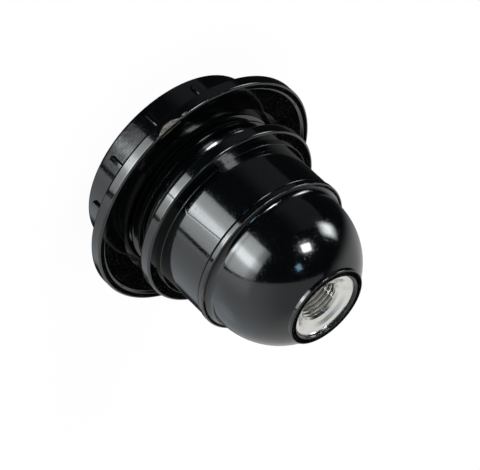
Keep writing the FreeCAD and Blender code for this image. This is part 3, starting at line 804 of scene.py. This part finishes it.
class LAMPHOLDER_OT_skirt(bpy.types.Operator):
    """Makes the skirt: threaded barrel, collar, step and body in one moulding"""
    bl_idname = "lamp_holder.skirt"
    bl_label = "Skirt"

    def execute(self, context):
        size = context.scene.holder_skirt
        root = size.crest_radius - size.thread_depth
        low, high = size.plain_end, size.barrel_length - size.plain_end
        under = size.barrel_length - size.shoulder_height
        collar = collar_height()
        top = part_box("skirt")[1].z
        ledge = top - size.ledge_drop
        ledge_foot = ledge - size.ledge_thickness
        foot_slope = 1.0 * MM
        groove_low, groove_high = ledge + 0.7 * MM, top - 0.5 * MM
        shell = turned("skirt shell", [
            (size.bore_radius, size.mouth_chamfer, 0.25 * MM),
            (size.bore_radius + size.mouth_chamfer, 0.0, CRISP_EDGE),
            (root, 0.0, SOFT_EDGE),
            (root, low),
            None,
            (root, high),
            (root, under, CRISP_EDGE),
            (size.shoulder_radius, under, FINE_EDGE),
            (size.shoulder_radius, size.barrel_length, FINE_EDGE),
            (size.collar_radius, size.barrel_length, size.collar_edge),
            (size.collar_radius, collar, size.collar_edge),
            (size.step_radius, collar),
            (size.step_radius, collar + size.step_height, FINE_EDGE),
            (size.body_radius, collar + size.step_height),
            (size.body_radius, top, SOFT_EDGE),
            (size.chamber_radius, top, CRISP_EDGE),
            (size.chamber_radius, groove_high),
            None,
            (size.chamber_radius, groove_low),
            (size.chamber_radius, ledge),
            (size.ledge_radius, ledge, 0.2 * MM),
            (size.ledge_radius, ledge_foot, 0.2 * MM),
            (size.bore_radius, ledge_foot - foot_slope, 0.4 * MM),
        ])
        material = resin_finish("black resin, skirt", skirt_marks)
        barrel = thread("barrel thread", base_radius=root, crest_radius=size.crest_radius, pitch=size.pitch,
                        bottom=low, top=high, crest_share=size.crest_width / size.pitch,
                        flank_share=size.flank_width / size.pitch, softness=0.12, turn=size.thread_turn,
                        fade=size.crest_width + 2 * size.flank_width, steps=28, material=material)
        chamber = thread("chamber thread", base_radius=size.chamber_radius,
                         crest_radius=size.chamber_radius + size.groove_depth, pitch=size.pitch,
                         bottom=groove_low, top=groove_high, fade=0.8 * MM, turn=0.2, steps=14,
                         material=material, **MOULDED_THREAD)
        thing = new_object("skirt_moulding", joined("skirt moulding", [shell, barrel, chamber]))
        piece(thing, material, "skirt", "black_resin", "skirt")
        return {"FINISHED"}


def on_rim(ring, angle, inset, slant):
    """The place on the flange's upper rim at this angle, set in from it and slanting outwards."""
    return Matrix.Rotation(angle, 4, "Z") @ Matrix.Translation((ring.flange_radius - inset, 0, ring.top)) \
        @ Matrix.Rotation(-slant, 4, "Y")


def gate_cutters(ring):
    """Boxes that take the broken gate, its chip and the ledge above it off the flange."""
    cutters = []
    for angle, chord, depth in gate_breaks(ring):
        inset = ring.flange_radius - math.sqrt(ring.flange_radius ** 2 - (chord / 2) ** 2)
        inset = max(inset, 0.16 * MM)
        turn = on_rim(ring, angle, inset, math.atan2(inset, depth))
        cutters.append(box_mesh("gate", (0.0, -chord * 0.52, -chord), (chord, chord * 0.52, depth), turn))
    ledge_width, ledge_depth, ledge_slant = 0.95 * MM, 0.16 * MM, 0.12
    low = (-ledge_width, -ring.gate_chord * 0.43, -ledge_depth)
    high = (1 * MM, ring.gate_chord * 0.36, 1 * MM)
    return [*cutters, box_mesh("gate ledge", low, high, on_rim(ring, ring.gate_angle, 0.0, ledge_slant))]


def grip_ribs(ring, material):
    """The grip ribs round the hub, sunk a little into it and into the flange."""
    low = (ring.hub_radius - 0.4 * MM, -ring.rib_width / 2, ring.bottom + ring.rib_setback)
    high = (ring.hub_top_radius + ring.rib_proud, ring.rib_width / 2, ring.flange_bottom + 0.1 * MM)
    blank = new_object("rib", box_mesh("rib", low, high))
    bevel = blank.modifiers.new("edges", "BEVEL")
    bevel.width = ring.rib_proud * 0.62
    bevel.segments = 4
    settled(blank)
    ribs = run_tree("ribs", repeat_tree(), blank.data, count=ring.rib_count, phase=ring.rib_phase,
                    material=material)
    bpy.data.objects.remove(blank)
    return ribs


class LAMPHOLDER_OT_ring(bpy.types.Operator):
    """Makes the shade ring: flange, hub with grip ribs, inner thread and the scar of its gate"""
    bl_idname = "lamp_holder.ring"
    bl_label = "Shade ring"

    def execute(self, context):
        size = context.scene.holder_ring
        face = size.top - size.lip_depth
        bore_top = face - size.bevel_depth
        low, high = size.bottom + size.mouth_chamfer, bore_top - 0.1 * MM
        shell = turned("ring shell", [
            (size.bore_radius, low),
            (size.bore_radius + size.mouth_chamfer, size.bottom, FINE_EDGE),
            (size.hub_radius, size.bottom, 0.5 * MM),
            (size.hub_top_radius, size.flange_bottom, 0.35 * MM),
            (size.flange_radius, size.flange_bottom, size.rim_edge),
            (size.flange_radius, size.top, size.rim_edge),
            (size.flange_radius - size.lip_width, size.top, CRISP_EDGE),
            (size.flange_radius - size.lip_width - size.lip_slope, face, 0.12 * MM),
            (size.bore_radius + size.bevel_width, face, CRISP_EDGE),
            (size.bore_radius, bore_top, 0.05 * MM),
            (size.bore_radius, high),
            None,
        ])
        material = resin_finish("black resin, ring", ring_marks)
        pitch = context.scene.holder_skirt.pitch
        bore = thread("ring thread", base_radius=size.bore_radius,
                      crest_radius=size.bore_radius + size.groove_depth, pitch=pitch, bottom=low, top=high,
                      fade=0.7 * MM, turn=0.55, steps=16, material=material, **MOULDED_THREAD)
        thing = new_object("shade_ring_moulding", joined("shade ring moulding", [shell, bore]))
        cut(thing, gate_cutters(size))
        ribs = grip_ribs(size, material)
        shape = bmesh.new()
        shape.from_mesh(thing.data)
        shape.from_mesh(ribs)
        shape.to_mesh(thing.data)
        shape.free()
        piece(thing, material, "ring", "black_resin", "shade_ring")
        return {"FINISHED"}


class LAMPHOLDER_OT_cap(bpy.types.Operator):
    """Makes the dome cap with its band, cove, rim and threaded nose"""
    bl_idname = "lamp_holder.cap"
    bl_label = "Dome cap"

    def execute(self, context):
        size = context.scene.holder_cap
        entry = context.scene.holder_entry
        bore = size.nose_radius - size.wall
        rim_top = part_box("dome_cap")[1].z
        neck = rim_top - size.rim_rise
        neck_radius = math.sqrt(size.dome_radius ** 2 - (neck - size.dome_base) ** 2)
        half_way = math.atan2(neck - size.dome_base, neck_radius) / 2
        half_height = size.dome_base + size.dome_radius * math.sin(half_way)
        boss = entry.body_radius + size.boss_wall
        boss_top = size.dome_base + math.sqrt(bore ** 2 - boss ** 2)
        inner_way = math.atan2(boss_top - size.dome_base, boss) / 2
        cone = rim_top - entry.lip_drop - entry.lip_depth
        gap = 0.03 * MM
        block_top = entry.bottom + entry.block_height + gap
        cove_foot = size.band_top + size.cove_lip
        cove_middle = cove_foot + (size.dome_base - cove_foot) / 3
        groove_low, groove_high = size.nose_bottom + 0.5 * MM, size.band_bottom - 0.6 * MM
        shell = turned("cap shell", [
            (bore, size.nose_bottom, CRISP_EDGE),
            (size.nose_radius, size.nose_bottom, SOFT_EDGE),
            (size.nose_radius, groove_low),
            None,
            (size.nose_radius, groove_high),
            (size.nose_radius, size.band_bottom),
            (size.band_radius, size.band_bottom, SOFT_EDGE),
            (size.band_radius, size.band_top, size.band_edge),
            (size.dome_radius + size.cove_depth / 2, cove_foot),
            (size.dome_radius + size.cove_depth / 6, cove_middle, "via"),
            (size.dome_radius, size.dome_base),
            (size.dome_radius * math.cos(half_way), half_height, "via"),
            (neck_radius, neck),
            (size.rim_radius, rim_top, size.rim_edge),
            (entry.lip_radius + gap, rim_top, SOFT_EDGE),
            (entry.lip_radius + gap, cone),
            (entry.body_radius + gap, cone - entry.cone_depth),
            (entry.body_radius + gap, block_top),
            (boss, block_top, SOFT_EDGE),
            (boss, boss_top),
            (bore * math.cos(inner_way), size.dome_base + bore * math.sin(inner_way), "via"),
            (bore, size.dome_base),
        ])
        material = resin_finish("black resin, cap", cap_marks)
        pitch = context.scene.holder_skirt.pitch
        nose = thread("nose thread", base_radius=size.nose_radius,
                      crest_radius=size.nose_radius - size.groove_depth, pitch=pitch, bottom=groove_low,
                      top=groove_high, fade=0.8 * MM, turn=0.2, steps=14, material=material, **MOULDED_THREAD)
        thing = new_object("cap_moulding", joined("cap moulding", [shell, nose]))
        half, across = size.notch_width / 2, 2 * size.nose_radius
        low, high = (-half, -across, size.nose_bottom - 1 * MM), (half, across, size.notch_top)
        cut(thing, [box_mesh("notch", low, high)])
        piece(thing, material, "cap", "black_resin", "dome_cap")
        return {"FINISHED"}


class LAMPHOLDER_OT_entry(bpy.types.Operator):
    """Makes the turned metal entry with its dish, lip and thread"""
    bl_idname = "lamp_holder.entry"
    bl_label = "Cable entry"

    def execute(self, context):
        size = context.scene.holder_entry
        colours = context.scene.holder_finishes
        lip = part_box("entry_bushing")[1].z
        cone = lip - size.lip_depth
        block_top = size.bottom + size.block_height
        dish = lip - size.dish_depth
        mouth = size.bore_radius + size.chamfer
        lip_inside = size.lip_radius - size.lip_width
        lip_step, step_width = 0.14 * MM, 0.06 * MM
        low, high = size.bottom + 0.2 * MM, dish - size.chamfer
        shell = turned("entry shell", [
            (size.bore_radius, low),
            (size.bore_radius, size.bottom),
            (size.block_radius, size.bottom, SOFT_EDGE),
            (size.block_radius, block_top, FINE_EDGE),
            (size.body_radius, block_top),
            (size.body_radius, cone - size.cone_depth),
            (size.lip_radius, cone),
            (size.lip_radius, lip, 0.08 * MM),
            (lip_inside, lip, 0.06 * MM),
            (lip_inside - step_width, lip - lip_step, 0.04 * MM),
            (size.knee_radius, lip - size.knee_depth, size.knee_edge),
            ((size.knee_radius + mouth) / 2, lip - size.dish_depth * 0.70, 0.4 * MM),
            (mouth, dish, 0.06 * MM),
            (size.bore_radius, high),
            None,
        ])
        material = turned_metal("satin nickel", colours.nickel, colours.nickel_tarnish, 0.16 * MM, 0.13)
        bore = thread("entry thread", base_radius=size.bore_radius, crest_radius=size.root_radius,
                      pitch=size.pitch, bottom=low, top=high, crest_share=0.12, flank_share=0.38,
                      softness=0.15, fade=0.35 * MM, turn=0.1, steps=14, material=material)
        thing = new_object("entry_turning", joined("entry turning", [shell, bore]))
        hole = upright_cylinder("lock hole", size.lock_hole_radius, 0.0, size.block_radius + 1 * MM)
        middle = Matrix.Translation((0, 0, (size.bottom + block_top) / 2))
        hole.transform(middle @ Matrix.Rotation(-math.pi / 2, 4, "X"))
        cut(thing, [hole])
        piece(thing, material, "cap", "nickel", "entry_bushing")
        return {"FINISHED"}


class LAMPHOLDER_OT_sleeve(bpy.types.Operator):
    """Makes the brass sleeve with the rolled thread for the lamp"""
    bl_idname = "lamp_holder.sleeve"
    bl_label = "Lamp sleeve"

    def execute(self, context):
        size = context.scene.holder_sleeve
        colours = context.scene.holder_finishes
        bottom, top = (corner.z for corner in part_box("threaded_sleeve"))
        inner, outer = size.crest_radius, size.crest_radius + size.sheet
        low, high = bottom + 0.9 * MM, top - 2.6 * MM
        shell = turned("sleeve shell", [
            (inner, high),
            None,
            (inner, low),
            (inner, bottom + size.flare, SOFT_EDGE),
            (inner + size.flare, bottom, 0.05 * MM),
            (outer + size.flare, bottom, 0.05 * MM),
            (outer, bottom + size.flare, SOFT_EDGE),
            (outer, low),
            None,
            (outer, high),
            (outer, top, 0.8 * MM),
            (size.crown_hole, top),
            (size.crown_hole, top - size.sheet),
            (inner, top - size.sheet, 0.4 * MM),
        ])
        material = drawn_metal("bright brass sheet", colours.brass, colours.brass_tarnish, 0.16)
        shape = {"pitch": size.pitch, "bottom": low, "top": high, "crest_share": 0.02, "flank_share": 0.48,
                 "softness": 0.55, "fade": 1.6 * MM, "turn": 0.3, "steps": 20, "material": material}
        inside = thread("sleeve inside", base_radius=inner, crest_radius=inner + size.thread_depth, **shape)
        outside = thread("sleeve outside", base_radius=outer, crest_radius=outer + size.thread_depth, **shape)
        thing = new_object("sleeve_pressing", joined("sleeve pressing", [shell, inside, outside]))
        holes = []
        for angle in (math.radians(degrees) for degrees in (0, 120, 240)):
            centre = (size.rivet_circle * math.cos(angle), size.rivet_circle * math.sin(angle))
            holes.append(upright_cylinder("rivet hole", size.rivet_hole, top - 1 * MM, top + 1 * MM, centre))
        cut(thing, holes)
        piece(thing, material, "base", "sleeve_brass", "threaded_sleeve")
        return {"FINISHED"}


class LAMPHOLDER_OT_inner_parts(bpy.types.Operator):
    """Gives the porcelain, contacts, rivets, clamps and screws inside their finishes"""
    bl_idname = "lamp_holder.inner_parts"
    bl_label = "Inner parts"

    def execute(self, context):
        colours = context.scene.holder_finishes
        satin = drawn_metal("satin brass", colours.brass, colours.brass_tarnish, 0.28)
        plated = drawn_metal("plated steel", colours.steel, colours.steel_tint, 0.26)
        finishes = {"contact_base": glazed_porcelain("glazed porcelain")}
        for node in ("neutral_rivet", "sleeve_rivet_1", "sleeve_rivet_2", "centre_rivet", "centre_contact",
                     "live_terminal", "neutral_terminal"):
            finishes[node] = satin
        for node in ("live_clamp", "neutral_clamp"):
            finishes[node] = plated
        for node in ("live_lock_washer", "live_screw", "neutral_lock_washer", "neutral_screw"):
            low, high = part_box(node)
            centre = ((low.x + high.x) / 2, (low.y + high.y) / 2)
            finishes[node] = turned_metal("turned steel, " + node.replace("_", " "), colours.steel,
                                          colours.steel_tint, 0.09 * MM, 0.24, centre)
        finishes["lock_screw"] = drawn_metal("lock screw steel", colours.steel, colours.steel_tint, 0.24)
        for node, material in finishes.items():
            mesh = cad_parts[node].data
            mesh.materials.clear()
            mesh.materials.append(material)
        return {"FINISHED"}


# ---------------------------------------------------------------- stage


CAMERA_PLACE = Vector((1.52, -447.40, 279.05)) * MM
CAMERA_RIGHT = Vector((-0.6896, 0.3566, 0.6303))
CAMERA_DOWN = Vector((0.7242, 0.3396, 0.6002))
CAMERA_AHEAD = Vector((0.0, 0.8704, -0.4924))
TO_TABLE = (0.611, 0.724, 0.317)
TO_CARD = (0.0, 0.8704, 0.4924)

# A stop is a share of the span and the brightness there.
SOFTBOX_START, SOFTBOX_WIDTH = -90.5, 60.0
SOFTBOX_ACROSS = [(0.0, 3.2), (0.04, 4.2), (0.10, 4.9), (0.24, 5.6), (0.30, 7.2), (0.36, 11.8), (0.44, 12.8),
                  (0.51, 12.0), (0.55, 8.0), (0.59, 5.4), (0.68, 4.4), (0.82, 3.8), (1.0, 2.6)]
SOFTBOX_FOOT, SOFTBOX_HEIGHT = -36.0, 51.0
SOFTBOX_UPWARDS = [(0.0, 0.0), (0.02, 0.70), (0.137, 0.80), (0.235, 1.0), (0.627, 1.0), (0.706, 0.93),
                   (0.784, 0.57), (0.863, 0.40), (0.955, 0.24), (0.984, 0.0)]


def brightness_at(place, stops):
    """The brightness that the stops give at a place from 0 to 1."""
    shade = place.node("ShaderNodeValToRGB", {"stops": stops}, {0: place})
    return place.node("ShaderNodeRGBToBW", None, {0: shade})


def patch(azimuth, level, sides, heights):
    """1 inside a patch of directions with straight, slightly soft edges, and 0 outside."""
    soft = 0.8
    across, upwards = [value.band(low - soft, low + soft, high - soft, high + soft)
                       for value, (low, high) in ((azimuth, sides), (level, heights))]
    return across * upwards


def oval(azimuth, level, centre, size):
    """0 in the middle of an oval of directions, 1 on its edge and more outside."""
    return distance((azimuth - centre[0]) / size[0], (level - centre[1]) / size[1])


def pale_table(azimuth, level):
    """Brightness of the pale table and its glow, which stops at a leaning edge."""
    pale = 0.44 + 0.42 * level.fall(4.0, 64.0)
    pale = pale + 0.55 * azimuth.fall(-38.0, -10.0) * level.fall(6.0, 16.0)
    pale = pale + 0.25 * oval(azimuth, level, (24.0, -16.0), (20.0, 13.0)).fall(0.2, 1.0)
    pale = pale * (1.0 - 0.45 * azimuth.rise(22.0, 76.0))
    edge = 80.0 + ((level + 20.0) * 2.5).at_most(0.0)
    return (pale * (1.0 - 0.97 * (azimuth - edge).rise(-7.0, 5.0))).at_least(0.02)


def lamps_in_dark(azimuth, level):
    """Brightness of the lamps and of the dark between them."""
    softbox = brightness_at((azimuth - SOFTBOX_START) / SOFTBOX_WIDTH, SOFTBOX_ACROSS) \
        * brightness_at((level - SOFTBOX_FOOT) / SOFTBOX_HEIGHT, SOFTBOX_UPWARDS)
    edge = -42.1 - 0.26 * level
    softbox = softbox * azimuth.rise(-91.0, -90.0) * (azimuth - edge).fall(-0.8, 0.8)
    window = 20.0 * patch(azimuth, level, (-147.0, -131.5), (27.0, 37.0)) \
        + 1.3 * oval(azimuth, level, (-139.0, 31.5), (16.0, 11.0)).fall(0.6, 1.1)
    turn = azimuth + 360.0 * azimuth.fall(-0.001, 0.001)
    side_lamp = 12.0 * turn.band(160.0, 176.0, 178.0, 193.0) * level.band(1.5, 9.0, 14.5, 22.5)
    panel = 0.10 * turn.band(175.5, 176.5, 205.0, 232.0) * level.fall(8.0, 12.0)
    return 0.012 + panel + softbox + window + side_lamp


def studio(graph):
    """The studio as a brightness for each direction: a pale table and its glow, a few soft lamps in the dark,
    and a ring-shaped card. Azimuth is the way round and level the height, in degrees."""
    way = graph.node("ShaderNodeTexCoord", output="Generated")
    x, y, z = parts_of(graph, way)
    azimuth, level = y.math("ARCTAN2", x) * DEGREES, z.math("ARCSINE") * DEGREES

    def towards(direction):
        return x * direction[0] + y * direction[1] + z * direction[2]

    def scaled(colour, strength):
        return graph.node("ShaderNodeVectorMath", {"operation": "SCALE"}, {0: colour, "Scale": strength})

    table = towards(TO_TABLE).rise(-0.012, 0.012)
    light = table * pale_table(azimuth, level) + (1.0 - table) * lamps_in_dark(azimuth, level)
    card = towards(TO_CARD).rise(0.46, 0.74)
    light = light * (1.0 - card) + 0.76 * card * towards(TO_CARD).fall(0.980, 0.992)
    second_bounce = graph.node("ShaderNodeLightPath").part("Glossy Depth").rise(1.5, 1.6) * z.rise(0.60, 0.66)
    light = light + second_bounce * (0.85 - light).at_least(0.0)
    table_tint = azimuth.rise(-25.0, 25.0).blend((0.965, 0.99, 1.0), (0.89, 0.95, 1.0))
    tint = card.blend(table.blend((0.93, 0.985, 1.0), table_tint), (0.99, 1.0, 0.985))
    blue_screen = 4.7 * patch(azimuth, level, (-116.5, -104.5), (47.5, 55.0))
    return graph.node("ShaderNodeVectorMath", {"operation": "ADD"},
                      {0: scaled(tint, light), 1: scaled((0.45, 0.82, 1.12), blue_screen)})


def stage_world():
    """The studio to every ray but the camera's, which see white."""
    world = bpy.data.worlds.new("soft studio")
    graph = emptied(world)
    painted = graph.node("ShaderNodeBackground", None, {"Color": studio(graph)})
    white = graph.node("ShaderNodeBackground", None, {"Color": (1.0, 1.0, 1.0, 1.0)})
    camera_ray = graph.node("ShaderNodeLightPath")
    both = graph.node("ShaderNodeMixShader", None, {0: camera_ray, 1: painted, 2: white})
    graph.node("ShaderNodeOutputWorld", None, {"Surface": both})
    return world


def stage_floor():
    """A pale floor, which glows white to the camera but for a trace of the object's shadow."""
    reach = 3.0
    corners = [(-reach, -reach, 0), (reach, -reach, 0), (reach, reach, 0), (-reach, reach, 0)]
    mesh = bpy.data.meshes.new("floor")
    mesh.from_pydata(corners, [], [(0, 1, 2, 3)])
    material = bpy.data.materials.new("pale floor")
    graph = emptied(material)
    glow = graph.node("ShaderNodeEmission", None, {"Color": (1.0, 1.0, 1.0, 1.0), "Strength": 1.035})
    matt = graph.node("ShaderNodeBsdfDiffuse", None, {"Color": (0.9, 0.9, 0.9, 1.0)})
    camera_ray = graph.node("ShaderNodeLightPath")
    both = graph.node("ShaderNodeMixShader", None, {0: camera_ray * 0.93, 1: matt, 2: glow})
    graph.node("ShaderNodeOutputMaterial", None, {"Surface": both})
    mesh.materials.append(material)
    floor = new_object("stage_floor", mesh)
    floor.visible_glossy = False
    floor.visible_diffuse = False
    floor.visible_shadow = False
    return floor


class LAMPHOLDER_OT_stage(bpy.types.Operator):
    """Makes the pale floor, the soft studio light and the camera"""
    bl_idname = "lamp_holder.stage"
    bl_label = "Stage"

    def execute(self, context):
        scene = context.scene
        scene.view_settings.view_transform = "Standard"
        scene.world = stage_world()
        floor = stage_floor()

        lens = bpy.data.cameras.new("camera")
        lens.lens = 180.0
        lens.sensor_width = 36.0
        lens.clip_start = 0.01
        lens.clip_end = 20.0
        camera = new_object("camera", lens)
        pose = Matrix((CAMERA_RIGHT, -CAMERA_DOWN, -CAMERA_AHEAD)).transposed().to_4x4()
        pose.translation = CAMERA_PLACE
        camera.matrix_world = pose
        scene.camera = camera
        return {"FINISHED"}


class LAMPHOLDER_PT_panel(bpy.types.Panel):
    """Lists the pieces of the lamp holder and its stage"""
    bl_idname = "LAMPHOLDER_PT_panel"
    bl_label = "Lamp holder"
    bl_space_type = "VIEW_3D"
    bl_region_type = "UI"
    bl_category = "Lamp holder"

    def draw(self, context):
        for operator in OPERATORS:
            self.layout.operator(operator.bl_idname)
        for name in GROUPS:
            settings = getattr(context.scene, name)
            box = self.layout.box()
            for key in settings.bl_rna.properties.keys():
                if key not in {"rna_type", "name"}:
                    box.prop(settings, key)


OPERATORS = (LAMPHOLDER_OT_cap, LAMPHOLDER_OT_entry, LAMPHOLDER_OT_skirt, LAMPHOLDER_OT_ring,
             LAMPHOLDER_OT_sleeve, LAMPHOLDER_OT_inner_parts, LAMPHOLDER_OT_stage)
GROUPS = {
    "holder_skirt": SkirtSizes,
    "holder_cap": CapSizes,
    "holder_entry": EntrySizes,
    "holder_ring": RingSizes,
    "holder_sleeve": SleeveSizes,
    "holder_finishes": Finishes,
}


def register():
    for cls in (*GROUPS.values(), *OPERATORS, LAMPHOLDER_PT_panel):
        bpy.utils.register_class(cls)
    for name, cls in GROUPS.items():
        setattr(bpy.types.Scene, name, PointerProperty(type=cls))


def unregister():
    for name in GROUPS:
        delattr(bpy.types.Scene, name)
    for cls in reversed((*GROUPS.values(), *OPERATORS, LAMPHOLDER_PT_panel)):
        bpy.utils.unregister_class(cls)


def main():
    register()
    bpy.ops.lamp_holder.cap()
    bpy.ops.lamp_holder.entry()
    bpy.ops.lamp_holder.skirt()
    bpy.ops.lamp_holder.ring()
    bpy.ops.lamp_holder.sleeve()
    bpy.ops.lamp_holder.inner_parts()
    bpy.ops.lamp_holder.stage()


if __name__ == "__main__":
    main()
